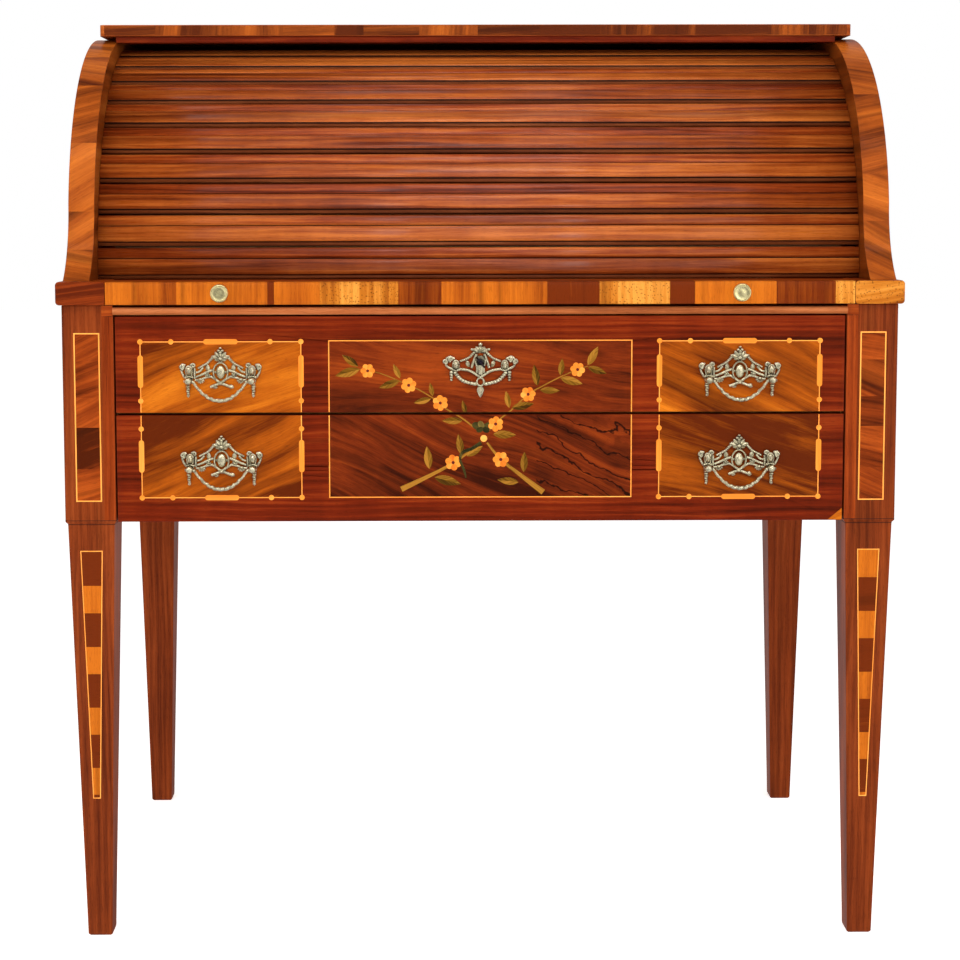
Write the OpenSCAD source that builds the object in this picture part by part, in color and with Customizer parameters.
// Roll top desk: a tambour that the writing slide rolls back, two long drawers, four tapered legs.
// Millimetres. X runs to the right, Y to the back, Z up; the origin is on the floor, in the
// middle of the desk's overall box.

/* [Overall] */
// Width across the outer faces of the posts
case_w = 978; // [815:1:1180]
// Height of the writing surface above the floor
writing_h = 791; // [650:1:960]
// Radius of the tambour's outer face about the roll axis
roll_r = 290; // [240:1:350]

/* [Legs and case] */
// Side of each square post
post_w = 60; // [50:1:72]
// Side of the leg just below the post
leg_top_w = 55; // [45:1:60]
// Side of the leg at the floor
leg_foot_w = 29; // [24:1:36]
// Height of the lower drawer's front
lower_front_h = 126; // [100:1:150]
// Height of the upper drawer's front
upper_front_h = 113; // [94:1:136]
// Thickness of the case sides
side_t = 22; // [18:0.5:26]
// Thickness of the case back and of the back behind the tambour
back_t = 10; // [8:0.5:14]
// Height of the rounded moulding under the slide
moulding_h = 9; // [7:0.5:12]
// Thickness of the drawer rails and runners
rail_t = 12; // [10:0.5:15]

/* [Slide and ledges] */
// Thickness of the slide's front and of the ledges
slide_t = 27.5; // [22:0.5:33]
// Width of each side ledge
ledge_w = 58; // [48:1:70]
// How far the ledges stand out past the posts
ledge_proud = 6; // [3:0.5:9]
// How far the slide pulls out
slide_travel = 325; // [270:1:390]
// Diameter of the slide's knobs
knob_dia = 21; // [17:0.5:26]

/* [Tambour and roll] */
// How many slats the tambour has
slat_count = 10; // [8:1:12]
// Angle that each slat takes round the roll axis
slat_pitch = 7.9; // [6.5:0.1:8]
// Thickness of a slat
slat_t = 11; // [9:0.5:13]
// Thickness of the tongue that runs in the groove
tongue_t = 6; // [5:0.5:7]
// How deep the tongues reach into the grooves
tongue_len = 8.5; // [7:0.5:10]
// Thickness of the arched sides
arch_t = 31; // [26:1:37]
// Thickness of the top board
top_t = 14; // [11:0.5:17]

/* [Drawers] */
// Thickness of the drawer fronts
front_t = 20; // [17:0.5:24]
// Thickness of the drawer sides and backs
board_t = 10; // [8:0.5:12]
// Thickness of the drawer bottoms
bottom_t = 6; // [5:0.5:8]
// How far the long drawers pull out
drawer_travel = 380; // [310:1:450]

/* [Handles and lock] */
// Distance from the end of a drawer front to a handle's middle
handle_inset = 123; // [105:1:145]
// Radius of the pin that a bail swings on
bail_pin_r = 1.5; // [1.25:0.05:1.8]
// Radius of the key's shank
key_r = 3; // [2.5:0.1:3.6]
// How far the lock's bolt rises
bolt_rise = 6; // [5:0.5:7]

/* [Fitment] */
// Height of the pigeonhole case
fitment_h = 190; // [160:1:200]
// Thickness of the pigeonhole case's boards
thin_t = 8; // [6:0.5:9]
// Height of the small drawers' bays
bay_h = 52; // [44:1:62]
// How far the small drawers pull out
small_travel = 120; // [100:1:140]

/* [Hidden] */

walnut = [0.45, 0.17, 0.07];
light_walnut = [0.66, 0.34, 0.14];
banding = [0.85, 0.47, 0.12];
pine = [0.76, 0.58, 0.38];
silvered = [0.72, 0.69, 0.6];
gilt = [0.72, 0.62, 0.36];
blued = [0.15, 0.15, 0.17];
hide = [0.28, 0.12, 0.06];
linen = [0.62, 0.55, 0.42];

round_fn = 96;
cut = 1;                 // how far a cut runs past the face that it opens
slide_gap = 0.5;         // clearance over and beside the writing slide
drawer_gap = 2;          // clearance beside the long drawers and over them
front_gap = 3;           // gap between the two drawer fronts
run_gap = 0.5;           // clearance of a drawer on its runners
small_gap = 0.7;         // clearance round a small drawer
tongue_gap = 0.5;        // clearance of a tongue in its groove
bore_gap = 0.1;          // radial clearance of a fixed shank in its hole
pin_gap = 0.05;          // radial clearance of a turning pin

// Heights
ledge_z = writing_h - slide_t;
moulding_top = ledge_z - 2.5;
moulding_z = moulding_top - moulding_h;
upper_top = moulding_z - drawer_gap;
upper_z = upper_top - upper_front_h;
lower_top = upper_z - front_gap;
lower_z = lower_top - lower_front_h;
post_chamfer = 3;
foot_chamfer = 2;
leg_h = lower_z - post_chamfer;
low_rail_z = lower_z + 1;
mid_rail_z = lower_top - 4.5;
dust_t = 8;
slide_z = ledge_z + slide_gap;
slide_top = writing_h - slide_gap;

// The roll: its axis runs along X, over the writing surface
roll_axis_h = 9;         // height of the axis over the writing surface
roll_set = 68;           // from the front of the posts back to the foot of the tambour
roll_d = roll_set + roll_r;
roll_z = writing_h + roll_axis_h;
foot_gap = 0.4;          // between the tambour's foot and the writing surface
first_angle = -asin((roll_axis_h - foot_gap) / roll_r);
slat_split = 0.35;       // open angle between two slats
slat_span = slat_pitch - slat_split;
tambour_turn = 59;
tail_angle = first_angle + slat_count * slat_pitch + tambour_turn;
tail_room = 12.5;        // behind the open tambour
case_d = roll_d - roll_r * cos(tail_angle) + tail_room + back_t;
slat_in = roll_r - slat_t;
canvas_t = 1.2;
canvas_inset = 20;

// Arched sides
rise_gap = 4;            // between the tambour and the top board
arch_h = roll_axis_h + roll_r + rise_gap;
arch_r = roll_r - 40;
arch_front = 52;
flare_h = 90;
flare_r = 115;
arch_d = arch_front + arch_r;
arch_z = arch_h - arch_r;
flare_d = arch_d - sqrt(pow(arch_r, 2) - pow(flare_h - arch_z, 2));

// Widths, as half widths from the middle
half_w = case_w / 2;
post_in = half_w - post_w;
side_in = half_w - side_t;
ledge_out = half_w + ledge_proud;
ledge_in = ledge_out - ledge_w;
arch_in = half_w - arch_t;
front_half = post_in - drawer_gap;
slide_half = ledge_in - slide_gap;

// Depths from the front of the posts
ledge_front = 7;
slide_front_d = -8;
slide_front_t = 20;
slide_back_d = case_d - 45;
slide_board_d = slide_front_d + slide_front_t;
ledge_back_w = 30;
case_back_d = case_d - 5 - back_t;
rail_d = front_t + run_gap;
drawer_len = case_back_d - 35;
nose = 5;
knob_len = 20;
reach = knob_len - slide_front_d;
front_y = reach - (case_d + reach) / 2;

// Top
top_inset = 11;
top_rail_t = 18;
top_rail_h = 8;
top_rail_seat = 11;      // how much of the rail's depth the arched sides back
top_rail_d = arch_d - sqrt(pow(arch_r, 2) - pow(arch_r - top_rail_h, 2)) + top_rail_seat - top_rail_t;
top_front_d = top_rail_d - 4;
top_z = writing_h + arch_h;

// Fitment
fitment_lift = 2;
fitment_front_d = roll_d + 20;
fitment_back_d = fitment_front_d + 180;
fitment_z = writing_h + fitment_lift;
bay_z = fitment_z + thin_t;
shelf_z = bay_z + bay_h;
bay_count = 3;
bay_w = (2 * arch_in - thin_t * (bay_count + 1)) / bay_count;
hole_w = (bay_w - thin_t) / 2;
hole_z = shelf_z + thin_t;
hole_h = fitment_z + fitment_h - thin_t - hole_z;
small_w = bay_w - 2 * small_gap;
small_h = bay_h - 2 * small_gap;
small_len = 165;
small_wall = 6;
small_knob_dia = 13;
small_knob_len = 14;

// Handles and lock
plate_t = 2.2;
handle_x = front_half - handle_inset;
pivot_x = 37;
pivot_reach = 12;
pivot_r = 4.2;
pivot_drop = 75;         // from the upper front's top edge to its bails' pins
handle_step = 104;       // from the upper pair of handles to the lower pair
bail_half = 30;
bail_drop = 23;
bail_r = 2.2;
bail_ring = (pow(bail_half, 2) + pow(bail_drop, 2)) / (2 * bail_drop);
bail_angle = acos((bail_ring - bail_drop) / bail_ring);
shank_r = 2.5;
nut_r = 6;
nut_t = 4;
knob_inset = 134.5;
knob_x = slide_half - knob_inset;
knob_z = writing_h - 13;
knob_shank = 12;
key_z = upper_top - 53.5;
key_tilt = 38;
key_out = 15;
key_ring_r = 9;
key_ring_t = 2.2;
bit_len = 9;
lock_half = 30;
lock_t = 11;
lock_foot = 21;
bolt_half = 12;
bolt_t = 5;
bolt_h = 40;

// A block given by its left and right, its depths behind the posts' front, and its heights
module block(x0, x1, d0, d1, z0, z1) {
    translate([x0, front_y + d0, z0]) cube([x1 - x0, d1 - d0, z1 - z0]);
}

// The same block on both sides of the middle
module pair(x0, x1, d0, d1, z0, z1) {
    block(x0, x1, d0, d1, z0, z1);
    block(-x1, -x0, d0, d1, z0, z1);
}

// Turns a flat shape, drawn as radius and half width, round the roll axis
module round_roll(from, to) {
    translate([0, front_y + roll_d, roll_z])
        rotate([0, -90, 0]) rotate([0, 0, from - 90])
            rotate_extrude(angle = to - from, $fn = round_fn) children();
}

// A strip of the roll between two radii, as wide as twice the half width
module roll_strip(from, to, r0, r1, half) {
    round_roll(from, to) translate([r0, -half]) square([r1 - r0, 2 * half]);
}

// A flat shape in X and Z, thickened towards the front from a depth
module on_front(x, d, z, thick) {
    translate([x, front_y + d, z]) rotate([90, 0, 0]) linear_extrude(thick) children();
}

// A straight rod along Y from a depth forwards
module rod_forward(x, d, z, r, len) {
    translate([x, front_y + d, z]) rotate([90, 0, 0]) cylinder(r = r, h = len, $fn = round_fn);
}

// A straight rod along X, centred
module rod_across(x, d, z, r, len) {
    translate([x - len / 2, front_y + d, z]) rotate([0, 90, 0]) cylinder(r = r, h = len, $fn = round_fn);
}

// Points along an arc, in even steps from one angle to another
function arc(x, y, r, from, to, steps) =
    [for (i = [0 : steps]) let (a = from + (to - from) * i / steps) [x + r * cos(a), y + r * sin(a)]];

// Outline of a leg and its post, seen from any side
module leg_outline() {
    foot = leg_foot_w / 2;
    knee = leg_top_w / 2;
    polygon([[-foot + foot_chamfer, 0], [foot - foot_chamfer, 0], [foot, foot_chamfer], [knee, leg_h],
        [post_w / 2, lower_z], [post_w / 2, ledge_z], [-post_w / 2, ledge_z], [-post_w / 2, lower_z],
        [-knee, leg_h], [-foot, foot_chamfer]]);
}

module leg(x, d) {
    color(walnut) translate([x, front_y + d, 0]) intersection() {
        translate([0, post_w / 2, 0]) rotate([90, 0, 0]) linear_extrude(post_w) leg_outline();
        translate([-post_w / 2, 0, 0]) rotate([90, 0, 90]) linear_extrude(post_w) leg_outline();
    }
}

leg_x = half_w - post_w / 2;
leg_front_d = post_w / 2;
leg_back_d = case_d - post_w / 2;
module leg_front_left() { leg(-leg_x, leg_front_d); }
module leg_front_right() { leg(leg_x, leg_front_d); }
module leg_back_left() { leg(-leg_x, leg_back_d); }
module leg_back_right() { leg(leg_x, leg_back_d); }

module case_side(side) {
    color(walnut) mirror([side < 0 ? 1 : 0, 0, 0])
        block(side_in, half_w, post_w, case_d - post_w, lower_z, ledge_z);
}
module case_side_left() { case_side(-1); }
module case_side_right() { case_side(1); }

module case_back() {
    color(pine) block(-post_in, post_in, case_back_d, case_back_d + back_t, lower_z, ledge_z);
}

// The rails that the drawer fronts hide
module drawer_rails() {
    color(pine) for (z = [low_rail_z, mid_rail_z])
        block(-post_in, post_in, rail_d, post_w, z, z + rail_t);
}

module drawer_runners() {
    runner_w = 30;
    color(pine) for (z = [low_rail_z, mid_rail_z])
        pair(post_in - runner_w, post_in, post_w, case_back_d, z, z + rail_t);
}

// The rounded rail under the slide, with the mortise that the lock's bolt rises into
module moulding_rail() {
    nose_r = moulding_h / 2;
    mortise_d = front_t - lock_t / 2;
    color(light_walnut) difference() {
        union() {
            block(-post_in, post_in, nose_r - nose, post_w, moulding_z, moulding_top);
            rod_across(0, nose_r - nose, moulding_z + nose_r, nose_r, 2 * post_in);
        }
        block(-bolt_half - 1, bolt_half + 1, mortise_d - bolt_t / 2 - 1, mortise_d + bolt_t / 2 + 1,
            moulding_z - cut, upper_top + bolt_rise + 0.7);
    }
}

module dust_board() {
    color(pine) block(-post_in, post_in, post_w, case_back_d, ledge_z - dust_t, ledge_z);
}

module ledge(side) {
    color(walnut) mirror([side < 0 ? 1 : 0, 0, 0])
        block(ledge_in, ledge_out, -ledge_front, case_d, ledge_z, writing_h);
}
module ledge_left() { ledge(-1); }
module ledge_right() { ledge(1); }

module ledge_back() {
    color(walnut) block(-ledge_in, ledge_in, case_d - ledge_back_w, case_d, ledge_z, writing_h);
}

// Outline of an arched side: a quarter arch that runs down into a concave foot
module arch_outline() {
    flare_low = asin(flare_h / flare_r);
    arch_low = asin((flare_h - arch_z) / arch_r);
    polygon(concat([[case_d, 0]], [[case_d, arch_h]],
        arc(arch_d, arch_z, arch_r, 90, 180 - arch_low, 96),
        arc(flare_d - flare_r, flare_h, flare_r, -1, -flare_low, 48)));
}

module roll_side(side) {
    groove_from = first_angle - 1.2;
    groove_in = slat_in - tongue_gap;
    groove_out = slat_in + tongue_t + tongue_gap;
    groove_half = arch_in + tongue_len + 1.5;
    color(light_walnut) mirror([side < 0 ? 1 : 0, 0, 0]) difference() {
        translate([arch_in, front_y, writing_h]) rotate([90, 0, 90]) linear_extrude(arch_t) arch_outline();
        roll_strip(groove_from, tail_angle + 1.5, groove_in, groove_out, groove_half);
    }
}
module roll_side_left() { roll_side(-1); }
module roll_side_right() { roll_side(1); }

module top_board() {
    half = half_w - top_inset;
    corner = 6;
    color(light_walnut) difference() {
        block(-half, half, top_front_d, case_d, top_z, top_z + top_t);
        for (side = [-1, 1]) translate([side * half, front_y + top_front_d, top_z]) difference() {
            translate([-corner, -corner, -cut]) cube([2 * corner, 2 * corner, top_t + 2 * cut]);
            translate([-side * corner, corner, -2 * cut])
                cylinder(r = corner, h = top_t + 4 * cut, $fn = 48);
        }
    }
}

module top_front_rail() {
    color(walnut) block(-arch_in, arch_in, top_rail_d, top_rail_d + top_rail_t, top_z - top_rail_h, top_z);
}

module upper_back() {
    color(pine) block(-arch_in, arch_in, case_d - back_t, case_d, writing_h, top_z);
}

// Left edge of a small drawer's bay, counted from 0
function bay_x(i) = -arch_in + thin_t + i * (bay_w + thin_t);

// Pigeonholes over three small drawers
module fitment_case() {
    color(light_walnut) difference() {
        block(-arch_in, arch_in, fitment_front_d, fitment_back_d, fitment_z, fitment_z + fitment_h);
        for (i = [0 : bay_count - 1]) {
            block(bay_x(i), bay_x(i) + bay_w, fitment_front_d - cut, fitment_back_d - thin_t, bay_z, shelf_z);
            for (x = [bay_x(i), bay_x(i) + hole_w + thin_t])
                block(x, x + hole_w, fitment_front_d - cut, fitment_back_d - thin_t, hole_z, hole_z + hole_h);
        }
    }
}

leather_margin = 70;
leather_t = 1;
leather_front_d = roll_set + 10;
leather_back_d = slide_back_d - leather_margin;

module slide_board() {
    color(walnut) difference() {
        block(-slide_half, slide_half, slide_board_d, slide_back_d, slide_z, slide_top);
        slide_hide(cut);
    }
}

// The leather's place in the slide, and how far it reaches over the surface
module slide_hide(over) {
    block(leather_margin - slide_half, slide_half - leather_margin, leather_front_d, leather_back_d,
        slide_top - leather_t, slide_top + over);
}

module slide_leather() { color(hide) slide_hide(0); }

module slide_front() {
    color(banding) difference() {
        block(-slide_half, slide_half, slide_front_d, slide_board_d, slide_z, slide_top);
        for (side = [-1, 1])
            rod_forward(side * knob_x, slide_front_d + knob_shank + bore_gap, knob_z, shank_r + bore_gap,
                knob_shank + cut + bore_gap);
    }
}

// A turned knob on its shank: neck, rim and a dished face
module knob(x, d, z, dia, len, shank) {
    r = dia / 2;
    translate([x, front_y + d, z]) rotate([90, 0, 0]) {
        translate([0, 0, -shank]) cylinder(r = shank_r, h = shank, $fn = round_fn);
        rotate_extrude($fn = round_fn)
            polygon([[0, 0], [0.55 * r, 0], [0.55 * r, 0.1 * len], [0.4 * r, 0.2 * len], [0.4 * r, 0.5 * len],
                [0.92 * r, 0.68 * len], [r, 0.8 * len], [r, 0.92 * len], [0.92 * r, len], [0.8 * r, len],
                [0.7 * r, 0.92 * len], [0, 0.92 * len]]);
    }
}

module slide_knobs() {
    color(gilt) for (side = [-1, 1])
        knob(side * knob_x, slide_front_d, knob_z, knob_dia, knob_len, knob_shank);
}

// A slat: thick between the arched sides, and a tongue at each end
module slat(i) {
    from = first_angle + i * slat_pitch;
    shoulder = arch_in - tongue_gap;
    color(walnut) {
        roll_strip(from, from + slat_span, slat_in, roll_r, shoulder);
        roll_strip(from, from + slat_span, slat_in, slat_in + tongue_t, arch_in + tongue_len);
    }
}
module slat_01() { slat(0); }
module slat_02() { slat(1); }
module slat_03() { slat(2); }
module slat_04() { slat(3); }
module slat_05() { slat(4); }
module slat_06() { slat(5); }
module slat_07() { slat(6); }
module slat_08() { slat(7); }
module slat_09() { slat(8); }
module slat_10() { slat(9); }

// The cloth that the slats are glued to
module tambour_canvas() {
    color(linen) roll_strip(first_angle, first_angle + slat_count * slat_pitch - slat_split,
        slat_in - canvas_t, slat_in, arch_in - canvas_inset);
}

// Holes for a handle's two shanks, through a drawer front
module handle_holes(z) {
    for (side = [-1, 1], end = [-1, 1])
        rod_forward(side * handle_x + end * pivot_x, front_t + cut, z, shank_r + bore_gap, front_t + 2 * cut);
}

module drawer_front(z, tall, handles_z) {
    difference() {
        block(-front_half, front_half, 0, front_t, z, z + tall);
        handle_holes(handles_z);
    }
}

upper_pivot_z = upper_top - pivot_drop;
lower_pivot_z = upper_pivot_z - handle_step;

module lock_pocket(slack) {
    block(-lock_half - slack, lock_half + slack, front_t - lock_t - slack, front_t + cut,
        key_z - lock_foot - slack, upper_top + cut);
}

module upper_front() {
    color(walnut) difference() {
        drawer_front(upper_z, upper_front_h, upper_pivot_z);
        lock_pocket(0);
        rod_forward(0, front_t, key_z, key_r + pin_gap, front_t + cut);
    }
}

module lower_front() { color(walnut) drawer_front(lower_z, lower_front_h, lower_pivot_z); }

// The box behind a drawer front, whose foot rests on the runners
function box_foot(rail_z) = rail_z + rail_t + run_gap;
upper_foot = box_foot(mid_rail_z);
lower_foot = box_foot(low_rail_z);
upper_box_top = upper_top - 2;
lower_box_top = mid_rail_z - 3;

module drawer_sides(foot, top) {
    color(pine) pair(front_half - board_t, front_half, front_t, drawer_len, foot, top);
}

module drawer_back(foot, top) {
    color(pine)
        block(board_t - front_half, front_half - board_t, drawer_len - board_t, drawer_len, foot, top);
}

module drawer_bottom(foot) {
    color(pine) block(board_t - front_half, front_half - board_t, front_t, drawer_len - board_t,
        foot, foot + bottom_t);
}

module upper_sides() { drawer_sides(upper_foot, upper_box_top); }
module upper_drawer_back() { drawer_back(upper_foot, upper_box_top); }
module upper_bottom() { drawer_bottom(upper_foot); }
module lower_sides() { drawer_sides(lower_foot, lower_box_top); }
module lower_drawer_back() { drawer_back(lower_foot, lower_box_top); }
module lower_bottom() { drawer_bottom(lower_foot); }

// A flat bar with round ends, between two points
module bar(from, to, w) {
    run = to - from;
    translate(from) rotate(atan2(run.y, run.x))
        polygon(concat(arc(norm(run), 0, w / 2, -90, 90, 6), arc(0, 0, w / 2, 90, 270, 6)));
}

// One half of a pierced mount, from the pin's height: end mask, curl, tassel and ribbon arm
module mount_wing(side) {
    x = side * pivot_x;
    translate([x, 1]) circle(7, $fn = 12);
    bar([x, 6], [side * 46, 7], 5);
    bar([x, -2], [x, -17], 4.5);
    bar([x, 6], [side * 24, 2], 3);
    bar([side * 24, 3], [side * 8, 18], 3.2);
    bar([x, 0], [side * 8, -4], 3);
    bar([side * 24, 12], [side * 4, 27], 3);
    bar([side * 23, 12], [x, 5], 3.4);
}

// The middle of a pierced mount: oval, crest and finial
module mount_middle() {
    bar([0, 7], [0, 12], 17);
    bar([-13, -5], [8, 4], 3);
    bar([13, -5], [-8, 4], 3);
    bar([0, 20], [0, 31], 9);
    bar([0, 31], [0, 37], 5);
}

// A pierced plate with the two studs that hold the bail's pins, their shanks and nuts
module handle_plate(x, z) {
    on_front(x, 0, z, plate_t) {
        mount_middle();
        for (side = [-1, 1]) mount_wing(side);
    }
    for (side = [-1, 1]) {
        px = x + side * pivot_x;
        difference() {
            rod_forward(px, -plate_t, z, pivot_r, pivot_reach + pivot_r - plate_t);
            rod_across(px, -pivot_reach, z, bail_pin_r + pin_gap, 4 * pivot_r);
        }
        rod_forward(px, front_t, z, shank_r, front_t);
        translate([px, front_y + front_t + nut_t, z]) rotate([90, 0, 0])
            cylinder(r = nut_r, h = nut_t, $fn = 6);
    }
}

module handle_plates(z) {
    color(silvered) for (side = [-1, 1]) handle_plate(side * handle_x, z);
}
module upper_handle_plates() { handle_plates(upper_pivot_z); }
module lower_handle_plates() { handle_plates(lower_pivot_z); }

// A swinging bail: an arc between two short pins
module bail(x, z) {
    color(silvered) {
        translate([x, front_y - pivot_reach, z + bail_ring - bail_drop]) rotate([90, 0, 0])
            rotate([0, 0, 270 - bail_angle]) rotate_extrude(angle = 2 * bail_angle, $fn = round_fn)
                translate([bail_ring, 0]) circle(bail_r, $fn = 32);
        for (side = [-1, 1])
            rod_across(x + side * (bail_half + pivot_x + pivot_r + 1) / 2, -pivot_reach, z, bail_pin_r,
                pivot_x + pivot_r + 1 - bail_half);
    }
}
module bail_upper_left() { bail(-handle_x, upper_pivot_z); }
module bail_upper_right() { bail(handle_x, upper_pivot_z); }
module bail_lower_left() { bail(-handle_x, lower_pivot_z); }
module bail_lower_right() { bail(handle_x, lower_pivot_z); }

// The pierced plate round the keyhole, with a fixed garland under it
module escutcheon() {
    garland_r = 29;
    color(silvered) on_front(0, 0, key_z, plate_t) difference() {
        union() {
            circle(11, $fn = 64);
            bar([0, 8], [0, 17], 8);
            bar([0, 17], [0, 22], 5);
            for (side = [-1, 1]) {
                bar([side * 6, 8], [side * 30, 1], 3.5);
                bar([side * 6, 4], [side * 30, -8], 3.5);
                translate([side * 35, -4]) circle(7.5, $fn = 12);
                bar([side * 35, 0], [side * 41, 1], 5);
                bar([side * 35, -8], [side * 35, -21], 4.5);
                bar([side * 33, -10], [side * 18, -25], 3.5);
                bar([side * 18, -25], [0, -garland_r], 3.5);
            }
            bar([0, -garland_r], [0, -38], 6);
        }
        circle(key_r + 0.6, $fn = 48);
    }
}

lock_d = front_t - lock_t;
module lock_case() {
    channel = 0.4;
    bolt_d = front_t - lock_t / 2;
    color(gilt) difference() {
        block(-lock_half, lock_half, lock_d, front_t, key_z - lock_foot, upper_top);
        rod_forward(0, front_t - 2, key_z, bit_len + 2, lock_t - 4);
        rod_forward(0, front_t - 2, key_z, key_r + pin_gap, lock_t);
        block(-bolt_half - channel, bolt_half + channel, bolt_d - bolt_t / 2 - channel,
            bolt_d + bolt_t / 2 + channel, upper_top - bolt_h - channel, upper_top + cut);
    }
}

// The bolt at rest, drawn down just below the drawer's top edge
module lock_bolt() {
    bolt_d = front_t - lock_t / 2;
    color(blued) block(-bolt_half, bolt_half, bolt_d - bolt_t / 2, bolt_d + bolt_t / 2,
        upper_top - bolt_h, upper_top - slide_gap);
}

// The key in its lock: bow, shank and bit, turned to the angle it is left at
module key() {
    bow_half = key_ring_t / 2;
    bit_d = front_t - lock_t + 3;
    color(blued) {
        rod_forward(0, front_t - 2.5, key_z, key_r, front_t - 2.5 + key_out);
        translate([0, front_y, key_z]) rotate([0, -key_tilt, 0]) {
            translate([-bow_half, bit_d, 0]) cube([key_ring_t, 4, bit_len]);
            translate([-bow_half, -key_out + 4, 0]) rotate([0, 90, 0]) difference() {
                cylinder(r = key_ring_r, h = key_ring_t, $fn = round_fn);
                translate([0, -2, -cut])
                    cylinder(r = key_ring_r - 4.5, h = key_ring_t + 2 * cut, $fn = round_fn);
            }
        }
    }
}

module small_drawer(i) {
    x = bay_x(i) + small_gap;
    z = bay_z + small_gap;
    middle = x + small_w / 2;
    back = fitment_front_d + small_len;
    color(banding) difference() {
        block(x, x + small_w, fitment_front_d, back, z, z + small_h);
        block(x + small_wall, x + small_w - small_wall, fitment_front_d + small_wall, back - small_wall,
            z + small_wall, z + small_h + cut);
        rod_forward(middle, fitment_front_d + small_wall + cut, bay_z + bay_h / 2, shank_r + bore_gap,
            small_wall + 2 * cut);
    }
}
module small_drawer_left() { small_drawer(0); }
module small_drawer_middle() { small_drawer(1); }
module small_drawer_right() { small_drawer(2); }

module small_knob(i) {
    color(gilt) knob(bay_x(i) + bay_w / 2, fitment_front_d, bay_z + bay_h / 2, small_knob_dia,
        small_knob_len, small_wall);
}
module small_knob_left() { small_knob(0); }
module small_knob_middle() { small_knob(1); }
module small_knob_right() { small_knob(2); }

leg_front_left();
leg_front_right();
leg_back_left();
leg_back_right();
case_side_left();
case_side_right();
case_back();
drawer_rails();
drawer_runners();
moulding_rail();
dust_board();
ledge_left();
ledge_right();
ledge_back();
roll_side_left();
roll_side_right();
top_board();
top_front_rail();
upper_back();
fitment_case();
slide_board();
slide_front();
slide_leather();
slide_knobs();
slat_01();
slat_02();
slat_03();
slat_04();
slat_05();
slat_06();
slat_07();
slat_08();
slat_09();
slat_10();
tambour_canvas();
upper_front();
upper_sides();
upper_drawer_back();
upper_bottom();
upper_handle_plates();
escutcheon();
lock_case();
lower_front();
lower_sides();
lower_drawer_back();
lower_bottom();
lower_handle_plates();
bail_upper_left();
bail_upper_right();
bail_lower_left();
bail_lower_right();
key();
lock_bolt();
small_drawer_left();
small_drawer_middle();
small_drawer_right();
small_knob_left();
small_knob_middle();
small_knob_right();
